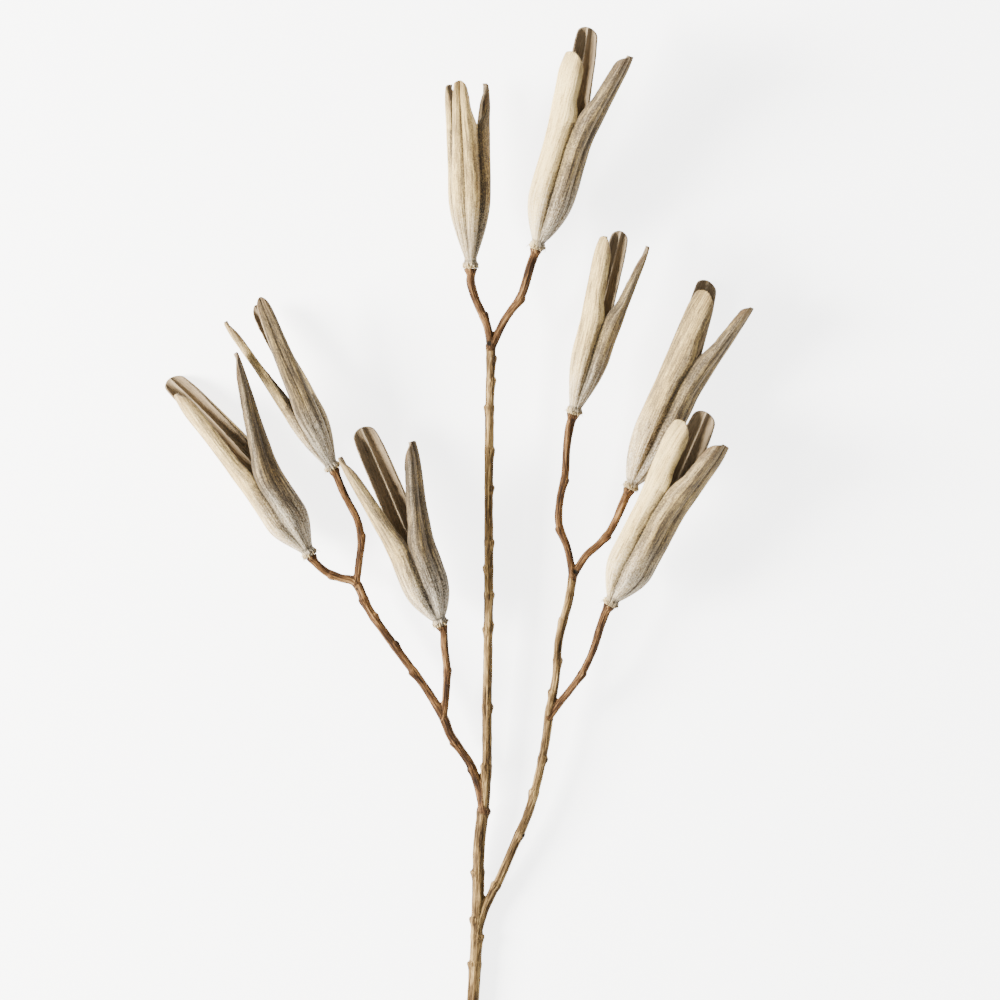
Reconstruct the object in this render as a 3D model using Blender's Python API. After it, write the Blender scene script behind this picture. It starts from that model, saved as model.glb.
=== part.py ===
"""A dried lily seed pod spray, laid on its back.

One cut stem forks into eight stalks, and each stalk carries one split seed pod.
The stem runs along +Y, +Z is up, and the surface that the spray lies on is at
z = 0. The tables below are in millimetres, with x and y measured from the lower
left corner of the plan; the model is in metres, with its origin under the
middle of the spray.
"""
from collections import namedtuple
from math import cos, exp, pi, radians, sin, sqrt

import bmesh
import bpy
from mathutils import Vector

MM = 0.001
PLAN_CENTRE = (183.3, 188.5)

# Pod sizes
COLLAR_RADIUS = 3.1
NECK_RADIUS = 2.5
COLLAR_LENGTH = 2.6
WALL = 0.9
EDGE_THICKENING = 0.5
SEPTUM_HEIGHT = 3.0
SEPTUM_WIDTH = 0.18
SWING_POWER = 1.3
SWING_LEAD = 0.03
STRETCH_FROM = 0.35
ROUND_FROM = 0.75
EDGE_GAP = 0.2
POD_FLOOR = 3.0
NARROWEST = 0.6

# Relief of the valves, as shares of the pod's radius, with places and widths
# as shares of half a valve
MID_GROOVE = 0.12
SEAM_GROOVE = 0.09
GROOVE_WIDTH = 0.16
LOBE_RIDGE = 0.035
RIDGE_PLACE = 0.55
RIDGE_WIDTH = 0.2

# Each valve is an arc of points from one seam, at -1, to the next, at +1
ACROSS = (-1.0, -0.8, -0.45, -0.15, 0.0, 0.15, 0.45, 0.8, 1.0)
ROWS = (0.0, 0.015, 0.035, 0.055, 0.09, 0.14, 0.21, 0.31, 0.42, 0.53, 0.64,
        0.75, 0.85, 0.92, 0.97, 1.0)
VALVES = 3

# Stem sizes
STALK_GAP = 0.3
STALK_FLARE = 1.45
FLARE_LENGTH = 3.0
RING_STEP = 8.0
SCAR_SWELL = 0.32
SCAR_FALL = 0.5
SPLINE_STEPS = 10
SIDES = 8

LEFT, RIGHT = -80.0, 80.0

# A pod stands on base, leans by heading to the right of +Y and rises by tilt.
# seam is where its front seam lies, in degrees to the right of the front. Its
# body widens from the neck to the shoulder, sooner where fill is small. splits
# are the heights, as shares of the length, from which the front, the right and
# the left seams are open.
Pod = namedtuple("Pod", "name base heading tilt seam girth neck shoulder fill splits valves")

# A valve's tip lies along the pod, to its right and to its front. There it faces
# this many degrees to the right of the front, and its curl and breadth are
# shares of the pod's own. Its edges end lower than its middle by rounding.
Valve = namedtuple("Valve", "along right front facing curl breadth rounding")

PODS = (
    Pod("pod_left_outer", (124.2, 177.8, 12.2), -33.1, 2.0, -20, 9.0, 2.4, 19, 1.15,
        (0.42, 0.42, 0.42), (
            Valve(83.6, -12.0, 3.0, -75, 0.90, 0.85, 9),
            Valve(84.4, 20.8, 9.0, 84, 0.62, 0.45, 12),
            Valve(90.4, -8.8, -15.75, 178, 0.80, 0.85, 9))),
    Pod("pod_left_upper", (133.3, 212.4, 16.0), -26.6, 2.0, -50, 7.4, 2.4, 25, 1.0,
        (0.31, 0.42, 0.31), (
            Valve(72.0, -13.5, 1.0, -68, 0.68, 0.40, 10),
            Valve(74.5, 4.6, 12.0, -4, 0.94, 0.56, 11),
            Valve(72.6, 1.8, -12.0, 160, 0.70, 0.60, 9))),
    Pod("pod_left_inner", (176.4, 150.1, 15.0), -21.0, 8.0, -8, 9.2, 2.4, 20, 0.85,
        (0.42, 0.42, 0.42), (
            Valve(78.3, -15.2, 5.0, -85, 0.70, 0.55, 11),
            Valve(74.2, 16.9, 8.0, 62, 0.74, 0.62, 8),
            Valve(84.3, -1.3, -14.0, 178, 0.93, 0.85, 10))),
    Pod("pod_top_left", (188.3, 292.8, 19.0), -1.0, 2.0, 45, 8.4, 4.0, 31, 1.0,
        (0.75, 0.64, 0.53), (
            Valve(74.6, -3.6, 9.0, -17, 0.85, 0.48, 6),
            Valve(73.5, 8.8, -1.5, 98, 0.70, 0.38, 10),
            Valve(73.4, -8.8, -5.5, 245, 0.72, 0.42, 8))),
    Pod("pod_top_right", (214.6, 300.8, 17.0), 16.3, 12.0, 0, 9.0, 2.6, 23, 0.95,
        (0.64, 0.53, 0.53), (
            Valve(81.0, -8.9, 9.0, -36, 0.97, 0.90, 9),
            Valve(85.5, 16.2, 7.0, 72, 0.76, 0.80, 5),
            Valve(89.4, -4.8, -14.0, 180, 0.78, 0.80, 9))),
    Pod("pod_right_upper", (229.4, 234.8, 17.0), 16.4, 9.0, 8, 7.6, 2.6, 28, 1.0,
        (0.53, 0.42, 0.42), (
            Valve(72.5, -9.4, 8.0, -45, 0.95, 0.72, 10),
            Valve(73.3, 10.8, 5.0, 80, 0.60, 0.26, 10),
            Valve(74.3, -2.4, -13.0, 184, 0.80, 0.78, 9))),
    Pod("pod_right_middle", (252.0, 204.6, 13.0), 25.0, 1.0, 5, 9.0, 2.6, 28, 0.75,
        (0.64, 0.53, 0.53), (
            Valve(84.4, -7.2, 9.0, -33, 0.98, 0.92, 10),
            Valve(86.1, 14.9, 7.0, 78, 0.60, 0.64, 4),
            Valve(89.0, -6.6, -14.95, 182, 0.78, 0.82, 9))),
    Pod("pod_right_lower", (243.9, 158.2, 17.0), 27.8, 8.0, -15, 9.6, 2.4, 19, 0.95,
        (0.64, 0.53, 0.53), (
            Valve(79.6, -9.8, 6.0, -35, 0.97, 0.76, 9),
            Valve(79.1, 12.2, 8.0, 58, 0.78, 0.80, 5),
            Valve(85.3, -1.4, -14.0, 178, 0.85, 0.86, 10))),
)

# A run is a stretch of stem: the points that it passes through, each with its
# diameter, the pod that it carries, and its leaf scars, as a distance from its
# start and the side of the stem that they are on.
Run = namedtuple("Run", "points pod scars")

RUNS = (
    Run(((188.8, -12.0, 2.5, 5.0), (189.2, 0.0, 2.7, 5.0), (190.4, 20.0, 3.2, 4.9),
         (191.2, 40.0, 3.9, 4.9), (191.6, 60.0, 5.0, 4.8), (193.2, 76.0, 6.2, 4.8),
         (194.4, 88.0, 7.0, 4.3), (194.8, 100.0, 7.8, 4.0), (194.8, 120.0, 9.1, 3.9),
         (195.2, 140.0, 10.3, 3.8), (195.5, 170.0, 12.0, 3.7), (195.5, 200.0, 13.6, 3.6),
         (195.7, 220.0, 14.5, 3.7), (196.0, 240.0, 15.4, 3.6), (196.3, 253.0, 15.9, 3.8),
         (196.3, 262.0, 16.3, 4.2)), None,
        ((26, LEFT), (37, RIGHT), (44, LEFT), (63, LEFT), (88, RIGHT), (106, LEFT),
         (130, RIGHT), (161, LEFT), (163, RIGHT), (175, RIGHT), (186, LEFT), (196, RIGHT),
         (218, RIGHT), (233, RIGHT), (250, LEFT), (261, RIGHT), (270, RIGHT))),
    Run(((193.2, 75.2, 6.3, 3.4), (192.0, 82.0, 6.6, 3.6), (190.4, 88.0, 6.9, 3.6),
         (188.0, 94.0, 7.2, 3.6), (184.0, 100.0, 7.5, 3.6), (180.0, 106.0, 7.9, 3.7),
         (177.2, 113.0, 8.4, 3.9), (170.0, 124.8, 8.9, 3.4), (158.8, 140.0, 9.5, 3.4),
         (148.0, 155.2, 10.1, 3.4), (142.4, 166.6, 10.6, 3.8), (136.0, 168.8, 11.0, 3.3),
         (130.4, 171.2, 11.4, 3.2)), "pod_left_outer",
        ((18, LEFT), (31, LEFT), (64, LEFT), (77, RIGHT), (91, RIGHT), (99, LEFT),
         (117, LEFT))),
    Run(((142.4, 166.4, 10.6, 3.0), (143.6, 176.0, 11.6, 3.1), (144.4, 184.0, 12.6, 3.1),
         (142.9, 192.0, 13.6, 3.0), (139.5, 198.8, 14.5, 3.0), (136.7, 204.6, 15.2, 3.2)),
        "pod_left_upper", ((20, RIGHT),)),
    Run(((177.2, 112.6, 8.4, 3.0), (178.2, 120.0, 9.4, 3.1), (178.8, 132.0, 11.8, 3.1),
         (177.8, 141.0, 13.5, 3.2)), "pod_left_inner", ((20, RIGHT),)),
    Run(((196.4, 260.6, 16.3, 3.2), (194.8, 270.0, 16.9, 3.4), (190.4, 280.0, 17.8, 3.4),
         (188.4, 286.5, 18.5, 3.6)), "pod_top_left", ((14, RIGHT),)),
    Run(((196.4, 260.4, 16.3, 3.2), (200.8, 270.0, 16.6, 3.3), (204.2, 275.4, 16.7, 3.3),
         (207.9, 280.4, 16.8, 3.4), (210.2, 286.5, 16.8, 3.5), (212.0, 293.0, 16.9, 3.6)),
        "pod_top_right", ((24, RIGHT),)),
    Run(((190.8, 24.0, 3.4, 3.2), (192.0, 30.0, 3.6, 3.6), (194.0, 36.0, 4.0, 3.6),
         (196.8, 42.0, 4.5, 3.6), (200.0, 48.0, 5.0, 3.6), (206.0, 62.0, 6.2, 3.6),
         (211.2, 74.0, 7.2, 3.8), (215.2, 88.0, 8.3, 3.7), (218.4, 104.0, 9.4, 3.5),
         (219.7, 114.0, 10.1, 4.0), (220.8, 120.0, 10.4, 3.5), (222.5, 130.0, 11.0, 3.4),
         (223.6, 144.0, 11.7, 3.4), (227.4, 159.0, 12.3, 3.4), (229.2, 170.0, 12.7, 3.8)),
        None,
        ((23, LEFT), (46, RIGHT), (64, LEFT), (78, RIGHT), (105, LEFT), (118, RIGHT),
         (134, LEFT))),
    Run(((219.6, 112.6, 10.1, 3.0), (224.0, 118.8, 10.9, 3.1), (228.2, 124.0, 11.8, 3.0),
         (233.2, 131.2, 13.0, 3.0), (237.2, 140.0, 14.4, 3.1), (240.0, 149.0, 15.8, 3.4)),
        "pod_right_lower", ((23, RIGHT),)),
    Run(((229.2, 168.6, 12.7, 3.0), (227.2, 180.0, 13.2, 3.0), (223.7, 190.0, 13.7, 3.1),
         (224.0, 200.0, 14.3, 3.1), (226.0, 210.0, 15.0, 3.2), (226.6, 220.0, 15.8, 3.3),
         (227.6, 228.0, 16.5, 3.6)), "pod_right_upper", ((21, LEFT), (41, RIGHT))),
    Run(((229.2, 169.2, 12.7, 3.0), (234.0, 177.2, 12.8, 3.1), (239.2, 182.0, 12.9, 3.1),
         (243.2, 186.4, 13.0, 3.1), (246.2, 191.6, 13.0, 3.2), (249.0, 198.0, 13.0, 3.5)),
        "pod_right_middle", ((22, RIGHT),)),
)

POD_COLOUR = (0.60, 0.53, 0.42, 1.0)
STEM_COLOUR = (0.33, 0.22, 0.13, 1.0)


def clear_scene():
    for item in list(bpy.data.objects):
        bpy.data.objects.remove(item)


def dried_finish(name, colour, roughness):
    finish = bpy.data.materials.new(name)
    finish.use_nodes = True
    shader = finish.node_tree.nodes["Principled BSDF"]
    shader.inputs["Base Color"].default_value = colour
    shader.inputs["Roughness"].default_value = roughness
    shader.inputs["Metallic"].default_value = 0.0
    return finish


def part_from(bm, name, finish):
    """Turns a closed bmesh, in plan millimetres, into an object in metres."""
    for vert in bm.verts:
        x, y, z = vert.co
        vert.co = ((x - PLAN_CENTRE[0]) * MM, (y - PLAN_CENTRE[1]) * MM, max(z, 0.0) * MM)
    bmesh.ops.recalc_face_normals(bm, faces=bm.faces)
    mesh = bpy.data.meshes.new(name)
    bm.to_mesh(mesh)
    bm.free()
    mesh.materials.append(finish)
    mesh.shade_smooth()
    mesh.set_sharp_from_angle(angle=radians(40))
    part = bpy.data.objects.new(name, mesh)
    bpy.context.scene.collection.objects.link(part)
    return part


def between(low, high, share):
    return low + (high - low) * share


def clamped(value):
    return min(1.0, max(0.0, value))


def eased(value):
    value = clamped(value)
    return value * value * (3.0 - 2.0 * value)


def bump(distance, width):
    return exp(-(distance / width) ** 2)


def pod_axes(pod):
    """The pod's own right, along and front directions."""
    heading, tilt = radians(pod.heading), radians(pod.tilt)
    along = Vector((sin(heading) * cos(tilt), cos(heading) * cos(tilt), sin(tilt)))
    right = Vector((cos(heading), -sin(heading), 0.0))
    return right, along, right.cross(along)


def body_radius(pod, height):
    """The outer radius of the closed pod at a height above its base."""
    if height < COLLAR_LENGTH:
        share = sin(pi * (height + 0.5) / (COLLAR_LENGTH + 0.5))
        return between(NECK_RADIUS, COLLAR_RADIUS, share)
    rise = clamped((height - pod.neck) / (pod.shoulder - pod.neck))
    return between(NECK_RADIUS, pod.girth, sin(rise * pi / 2.0) ** pod.fill)


def valve_point(pod, side, row, across, inner):
    """A point of a valve's outer or inner face, in the pod's own directions."""
    valve = pod.valves[side]

    # Towards the tip each point slides down the valve the more, the nearer it
    # is to an edge, which rounds the end
    end = clamped((row - ROUND_FROM) / (1.0 - ROUND_FROM))
    row -= end * valve.rounding / valve.along * (1.0 - sqrt(1.0 - across ** 2))
    mean_length = sum(each.along for each in pod.valves) / VALVES
    stretch = eased((row - STRETCH_FROM) / (1.0 - STRETCH_FROM))
    height = row * mean_length + (valve.along - mean_length) * stretch

    # The valve swings out from where the first of its two seams opens
    opens = min(pod.splits[side], pod.splits[side - 1]) - SWING_LEAD
    opened = clamped((row - opens) / (1.0 - opens))
    swing = opened ** SWING_POWER
    roll = pod.seam - 60.0 + 120.0 * side
    turn = (valve.facing - roll + 180.0) % 360.0 - 180.0
    facing = radians(roll + turn * swing)
    tip_arc = valve.curl * pod.girth
    arc = between(body_radius(pod, height), tip_arc, swing)
    centre_right = swing * (valve.right - tip_arc * sin(radians(valve.facing)))
    centre_front = swing * (valve.front - tip_arc * cos(radians(valve.facing)))

    # A closed valve spans a third of a turn, and an open one narrows to its tip
    half_width = arc * pi / 3.0
    if opened > 0.0:
        half_width = pod.girth * pi / 3.0 * between(1.0, valve.breadth, opened) - EDGE_GAP
    angle = facing + across * half_width / arc

    fullness = clamped((arc - NECK_RADIUS) / (0.6 * pod.girth))
    relief = LOBE_RIDGE * bump(abs(across) - RIDGE_PLACE, RIDGE_WIDTH)
    relief -= MID_GROOVE * bump(across, GROOVE_WIDTH)
    relief -= SEAM_GROOVE * bump(1.0 - abs(across), GROOVE_WIDTH)
    radius = arc * (1.0 + relief * fullness)
    if inner:
        radius -= WALL + EDGE_THICKENING * abs(across) ** 3
        radius -= SEPTUM_HEIGHT * fullness * bump(across, SEPTUM_WIDTH) * clamped(1.15 - row)
        radius = max(radius, NARROWEST)
        height += POD_FLOOR * clamped(1.0 - row / ROWS[5]) ** 2
    return Vector((centre_right + radius * sin(angle), height, centre_front + radius * cos(angle)))


def shell_point(pod, side, row, column, inner):
    """A valve's point, shared with its neighbour where their seam is closed."""
    point = valve_point(pod, side, row, ACROSS[column], inner)
    if column == 0 and row <= pod.splits[side - 1]:
        other = valve_point(pod, (side - 1) % VALVES, row, 1.0, inner)
        return (point + other) / 2.0
    if column == len(ACROSS) - 1 and row <= pod.splits[side]:
        other = valve_point(pod, (side + 1) % VALVES, row, -1.0, inner)
        return (point + other) / 2.0
    return point


def seed_pod(pod, finish):
    """Three valves in one closed body, joined below and split apart above."""
    bm = bmesh.new()
    number = bm.verts.layers.int.new("number")
    steps = len(ACROSS) - 1
    places = [None]

    # A strip is a chain of points between two open seams, each with its valve
    # and its column there. All start as one ring, which opening seams cut.
    ring = bmesh.ops.create_circle(bm, cap_ends=True, cap_tris=True, segments=VALVES * steps)
    around = ring["verts"][1:]
    strip = [(vert, count // steps, count % steps) for count, vert in enumerate(around)]
    strip.append((around[0], VALVES - 1, steps))
    note_places(strip, ROWS[0], number, places)
    strips = [strip]
    closed = True
    for below, row in zip(ROWS, ROWS[1:]):
        for seam in range(VALVES):
            if below <= pod.splits[seam] < row:
                strips = cut_at_seam(strips, seam, closed)
                closed = False
        strips = [raise_strip(bm, strip, row, number, places) for strip in strips]

    inside = bmesh.ops.extrude_face_region(bm, geom=bm.faces[:])
    inside_verts = {item for item in inside["geom"] if isinstance(item, bmesh.types.BMVert)}
    right, along, front = pod_axes(pod)
    for vert in bm.verts:
        inner = vert in inside_verts
        point = Vector((0.0, POD_FLOOR if inner else 0.0, 0.0))
        if places[vert[number]]:
            point = shell_point(pod, *places[vert[number]], inner)
        vert.co = Vector(pod.base) + right * point.x + along * point.y + front * point.z
    return part_from(bm, pod.name, finish)


def note_places(strip, row, number, places):
    """Numbers the strip's points and notes the valve, row and column of each."""
    for vert, valve, column in strip:
        vert[number] = len(places)
        places.append((valve, row, column))


def cut_at_seam(strips, seam, closed):
    """Cuts the strip that holds a seam, so that its two sides rise apart."""
    cut = []
    for strip in strips:
        starts = [count for count, (vert, valve, column) in enumerate(strip)
                  if valve == (seam + 1) % VALVES and column == 0]
        if not starts:
            cut.append(strip)
            continue
        at = starts[0]
        side = (strip[at][0], seam, len(ACROSS) - 1)
        if closed:
            cut.append(strip[at:-1] + strip[:at] + [side])
        else:
            cut += [strip[:at] + [side], strip[at:]]
    return cut


def raise_strip(bm, strip, row, number, places):
    """Extrudes a strip upwards by one row."""
    edges = [bm.edges.get((low[0], high[0])) for low, high in zip(strip, strip[1:])]
    grown = bmesh.ops.extrude_edge_only(bm, edges=edges)
    above = {item[number]: item for item in grown["geom"] if isinstance(item, bmesh.types.BMVert)}
    raised = [(above[vert[number]], valve, column) for vert, valve, column in strip]
    note_places(raised, row, number, places)
    return raised


def spline_point(knots, span, share):
    """A point, with its diameter, on a smooth curve through the knots."""
    before, start, end, after = (knots[min(max(count, 0), len(knots) - 1)]
                                 for count in range(span - 1, span + 3))
    square, cube = share ** 2, share ** 3
    return tuple(0.5 * (2.0 * b + (c - a) * share + (2.0 * a - 5.0 * b + 4.0 * c - d) * square
                        + (3.0 * b - a - 3.0 * c + d) * cube)
                 for a, b, c, d in zip(before, start, end, after))


def route_samples(knots):
    """Close points along a run, each with its distance from the run's start."""
    samples, distance = [], 0.0
    for span in range(len(knots) - 1):
        for step in range(SPLINE_STEPS):
            samples.append(spline_point(knots, span, step / SPLINE_STEPS))
    samples.append(knots[-1])
    places = [Vector(sample[:3]) for sample in samples]
    route = []
    for count, place in enumerate(places):
        if count:
            distance += (place - places[count - 1]).length
        ahead = places[min(count + 1, len(places) - 1)] - places[max(count - 1, 0)]
        route.append((distance, place, ahead.normalized(), samples[count][3] / 2.0))
    return route


def at_distance(route, distance):
    """The place, direction and radius at a distance along a run."""
    for low, high in zip(route, route[1:]):
        if high[0] >= distance:
            share = clamped((distance - low[0]) / (high[0] - low[0]))
            return (low[1].lerp(high[1], share), low[2].lerp(high[2], share).normalized(),
                    between(low[3], high[3], share))
    return route[-1][1:]


def ring_distances(length, scars, flared):
    """Where the rings of a run go: evenly, and close together at each scar."""
    close = [distance + shift for distance, side in scars for shift in (-3.0, 0.0, SCAR_FALL)]
    if flared:
        close.append(length - FLARE_LENGTH)
    close += [0.0, length]
    count = max(2, round(length / RING_STEP))
    even = [length * step / count for step in range(1, count)]
    even = [place for place in even if min(abs(place - other) for other in close) > 2.0]
    rings = []
    for place in sorted(close + even):
        if 0.0 <= place <= length and (not rings or place - rings[-1] > 0.3):
            rings.append(place)
    return rings


def scar_factor(distance, angle, scars):
    """The stem swells on the side of a leaf scar and steps back above it."""
    factor = 1.0
    for place, side in scars:
        if distance <= place + 0.01:
            facing = max(0.0, cos(angle - radians(side)))
            factor += SCAR_SWELL * facing ** 2 * bump(place - distance, 2.6)
    return factor


def stem_run(run, pods):
    """One stretch of stem as a closed tube of rings along its route."""
    knots = list(run.points)
    if run.pod:
        pod = pods[run.pod]
        along = pod_axes(pod)[1]
        width = knots[-1][3]
        for back in (STALK_GAP + FLARE_LENGTH, STALK_GAP):
            knots.append((*(Vector(pod.base) - along * back), width))
    route = route_samples(knots)
    length = route[-1][0]
    bm = bmesh.new()
    number = bm.verts.layers.int.new("number")
    ring = bmesh.ops.create_circle(bm, cap_ends=True, segments=SIDES)
    for count, vert in enumerate(ring["verts"]):
        vert[number] = count
    cap = bm.faces[:][0]
    for count, distance in enumerate(ring_distances(length, run.scars, run.pod)):
        if count > 0:
            grown = bmesh.ops.extrude_face_region(bm, geom=[cap])["geom"]
            if count > 1:
                bmesh.ops.delete(bm, geom=[cap], context="FACES_ONLY")
            cap = next(item for item in grown if isinstance(item, bmesh.types.BMFace))
        place, ahead, radius = at_distance(route, distance)
        right = ahead.cross(Vector((0.0, 0.0, 1.0))).normalized()
        front = right.cross(ahead)
        if run.pod:
            flare = eased((distance - length + FLARE_LENGTH) / FLARE_LENGTH)
            radius *= between(1.0, STALK_FLARE, flare)
        for vert in cap.verts:
            angle = 2.0 * pi * vert[number] / SIDES
            reach = radius * scar_factor(distance, angle, run.scars)
            vert.co = place + (front * cos(angle) + right * sin(angle)) * reach
    return bm


def branching_stem(finish):
    """All stretches of stem, fused where they fork."""
    pods = {pod.name: pod for pod in PODS}
    pieces = [part_from(stem_run(run, pods), "stem", finish) for run in RUNS]
    trunk, shoots = pieces[0], pieces[1:]
    forks = bpy.data.collections.new("shoots")
    for shoot in shoots:
        forks.objects.link(shoot)
    union = trunk.modifiers.new("fork", "BOOLEAN")
    union.operation = "UNION"
    union.operand_type = "COLLECTION"
    union.collection = forks
    union.solver = "EXACT"
    fused = bpy.data.meshes.new_from_object(
        trunk.evaluated_get(bpy.context.evaluated_depsgraph_get()))
    trunk.modifiers.clear()
    trunk.data = fused
    for shoot in shoots:
        bpy.data.objects.remove(shoot)
    bpy.data.collections.remove(forks)
    trunk.name = "stem"
    return trunk


def main():
    clear_scene()
    branching_stem(dried_finish("dried_stem", STEM_COLOUR, 0.8))
    pod_finish = dried_finish("dried_pod", POD_COLOUR, 0.9)
    for pod in PODS:
        seed_pod(pod, pod_finish)


main()
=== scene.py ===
"""The looks of a dried lily seed pod spray that lies on its back.

Eight seed pods and one branching stem are modelled here in fine detail, each in
place of its plain solid. Lengths in the tables are millimetres on the plan, with
x and y measured from its lower left corner; the finished meshes are in metres.
"""
from collections import namedtuple
from math import atan2, cos, exp, pi, radians, sin, sqrt

import bmesh
import bpy
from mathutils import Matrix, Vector, noise
from mathutils.kdtree import KDTree


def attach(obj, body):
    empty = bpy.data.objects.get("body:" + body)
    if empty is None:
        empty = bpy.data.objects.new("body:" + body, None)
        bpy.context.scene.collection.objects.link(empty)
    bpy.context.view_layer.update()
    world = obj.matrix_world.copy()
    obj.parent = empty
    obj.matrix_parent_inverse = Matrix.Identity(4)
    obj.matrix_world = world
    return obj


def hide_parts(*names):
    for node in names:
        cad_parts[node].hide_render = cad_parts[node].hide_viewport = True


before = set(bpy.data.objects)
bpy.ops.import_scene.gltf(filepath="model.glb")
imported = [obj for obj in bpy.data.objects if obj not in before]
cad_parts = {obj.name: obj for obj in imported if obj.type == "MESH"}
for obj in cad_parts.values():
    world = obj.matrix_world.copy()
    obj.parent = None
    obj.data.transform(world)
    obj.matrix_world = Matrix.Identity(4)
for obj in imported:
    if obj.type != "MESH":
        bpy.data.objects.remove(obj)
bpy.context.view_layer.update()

MM = 0.001
PLAN_CENTRE = (183.3, 188.5)

# Pod sizes, most of them shared with the solids
COLLAR_RADIUS = 3.1
NECK_RADIUS = 2.5
COLLAR_LENGTH = 2.6
WALL = 0.9
EDGE_THICKENING = 0.5
SEPTUM_HEIGHT = 3.0
SWING_POWER = 1.3
SWING_LEAD = 0.03
STRETCH_FROM = 0.35
ROUND_FROM = 0.75
EDGE_GAP = 0.2
POD_FLOOR = 3.0
FLOOR_TOP = 0.14
NARROWEST = 0.6
TIP_HOOK = 1.8
HOOK_FROM = 0.86
BASE_DROP = 0.25
VALVES = 3

# Fineness of the pods, and how far rows and columns crowd to the ends and seams
COLUMNS = 40
ROWS = 130
END_CROWDING = 0.06
SEAM_CROWDING = 0.45

# Torn threads of the collars, in millimetres
THREADS = 14
THREAD_STEPS = 4
THREAD_LENGTH = 1.5
THREAD_THICK = 0.22
THREAD_THIN = 0.06

# Relief of the valves, in millimetres on a full pod
SEAM_GROOVE = 2.1
LOBE_RIDGE = 0.45
DENTS = 0.2
FIBRES = 0.12
COLLAR_FRAY = 0.75
RAGGED_EDGE = 0.3

# Shares of a valve's length or half width
SPLIT_FADE = 0.14
SEAM_REACH = 0.3
BLADE_WIDTH = 0.055
LOBE_PLACE = 0.5
HOLLOW_PLACE = 0.35
COLLAR_LINE = 0.036
BLOOM_HEIGHT = 0.4
TIP_FROM = 0.86

# Stem sizes, shared with the solids
STALK_GAP = 0.3
STALK_FLARE = 1.45
FLARE_LENGTH = 3.0
SPLINE_STEPS = 10
LEFT, RIGHT = -80.0, 80.0

# Relief of the stem: shares of its radius, then millimetres
SCAR_RISE = 0.30
RING_RISE = 0.10
SCAR_SLOPE = 2.4
SCAR_LEDGE = 0.35
RIBS = 0.09
KNOBS = 0.07
STREAKS = 0.15
FINE_STREAKS = 0.08
PIT_DEPTH = 0.6
PIT_SHARPNESS = 2.4

# Fineness of the stem
STEM_SIDES = 28
STEM_STEP = 0.7
STEM_VOXEL = 0.4

# The studio, in metres and watts; the floor glows softly, as a light table does
KEY_PLACE = (-1.62, 0.0, 0.76)
KEY_SIZE = 0.7
KEY_POWER = 275.0
SKY_STRENGTH = 0.95
FLOOR_GLOW = 3.9

# A pod: the foot of its collar, its heading from straight up the plan, its tilt
# off the floor, where its first seam lies, its girth, the heights between which it
# swells and how quickly, the heights where its seams split, and its valves
Pod = namedtuple("Pod", "name base heading tilt seam girth neck shoulder fill splits valves")
# A valve: the place of its tip in the pod's own directions, where its back faces
# and how curled and broad it is there, how far its tip is rounded, how pale its
# wall is, partly its own tone and partly painted shade that darkens the valves
# facing away from the lamp, and how deep the groove down its back
Valve = namedtuple("Valve", "along right front facing curl breadth rounding pale groove")

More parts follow.
